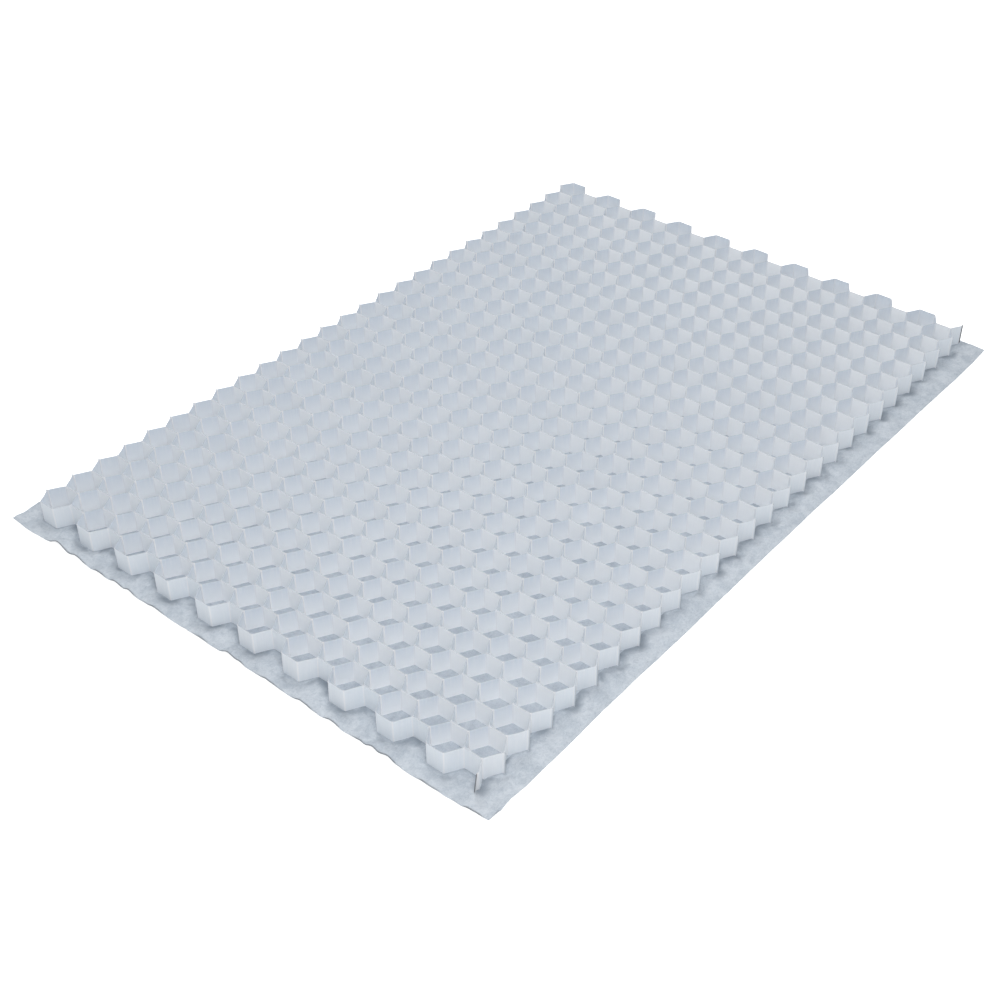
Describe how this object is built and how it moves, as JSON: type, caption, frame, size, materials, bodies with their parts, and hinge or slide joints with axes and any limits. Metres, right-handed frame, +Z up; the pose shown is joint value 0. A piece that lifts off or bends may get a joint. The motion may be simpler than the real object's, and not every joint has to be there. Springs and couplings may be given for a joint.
{
  "type": "gravel grid",
  "caption": "Flat sheet of open hexagonal plastic cells on a fleece backing, laid on the ground and filled with gravel to keep it in place.",
  "frame": {"origin": "middle of the fleece's underside, which lies on the ground", "axes": "+X along the long side, away from the short edge where the fleece shows past the cells; +Y along the short side, away from the long edge with the wide strip of fleece; +Z up, out of the open cells"},
  "size_m": [1.19, 0.8142, 0.0328],
  "materials": {
    "white_plastic": "satin, slightly see-through natural polypropylene",
    "fleece": "matt, bonded fibres"
  },
  "bodies": {
    "root": {"fleece": "fleece", "honeycomb_strip_01": "white_plastic", "honeycomb_strip_02": "white_plastic", "honeycomb_strip_03": "white_plastic", "honeycomb_strip_04": "white_plastic", "honeycomb_strip_05": "white_plastic", "honeycomb_strip_06": "white_plastic", "honeycomb_strip_07": "white_plastic", "honeycomb_strip_08": "white_plastic", "honeycomb_strip_09": "white_plastic", "honeycomb_strip_10": "white_plastic", "honeycomb_strip_11": "white_plastic", "honeycomb_strip_12": "white_plastic", "honeycomb_strip_13": "white_plastic", "honeycomb_strip_14": "white_plastic", "honeycomb_strip_15": "white_plastic", "honeycomb_strip_16": "white_plastic", "honeycomb_strip_17": "white_plastic", "honeycomb_strip_18": "white_plastic", "honeycomb_strip_19": "white_plastic", "honeycomb_strip_20": "white_plastic", "honeycomb_strip_21": "white_plastic", "honeycomb_strip_22": "white_plastic", "honeycomb_strip_23": "white_plastic", "honeycomb_strip_24": "white_plastic", "honeycomb_strip_25": "white_plastic", "honeycomb_strip_26": "white_plastic", "honeycomb_strip_27": "white_plastic", "honeycomb_strip_28": "white_plastic", "honeycomb_strip_29": "white_plastic", "honeycomb_strip_30": "white_plastic", "honeycomb_strip_31": "white_plastic", "honeycomb_strip_32": "white_plastic", "honeycomb_strip_33": "white_plastic", "honeycomb_strip_34": "white_plastic", "honeycomb_strip_35": "white_plastic", "honeycomb_strip_36": "white_plastic", "honeycomb_strip_37": "white_plastic", "honeycomb_strip_38": "white_plastic", "honeycomb_strip_39": "white_plastic", "honeycomb_strip_40": "white_plastic", "honeycomb_strip_41": "white_plastic", "honeycomb_strip_42": "white_plastic", "honeycomb_strip_43": "white_plastic", "honeycomb_strip_44": "white_plastic", "honeycomb_strip_45": "white_plastic", "honeycomb_strip_46": "white_plastic", "honeycomb_strip_47": "white_plastic", "honeycomb_strip_48": "white_plastic", "honeycomb_strip_49": "white_plastic", "honeycomb_strip_50": "white_plastic", "honeycomb_strip_51": "white_plastic", "honeycomb_strip_52": "white_plastic", "honeycomb_strip_53": "white_plastic", "honeycomb_strip_54": "white_plastic"}
  },
  "joints": []
}
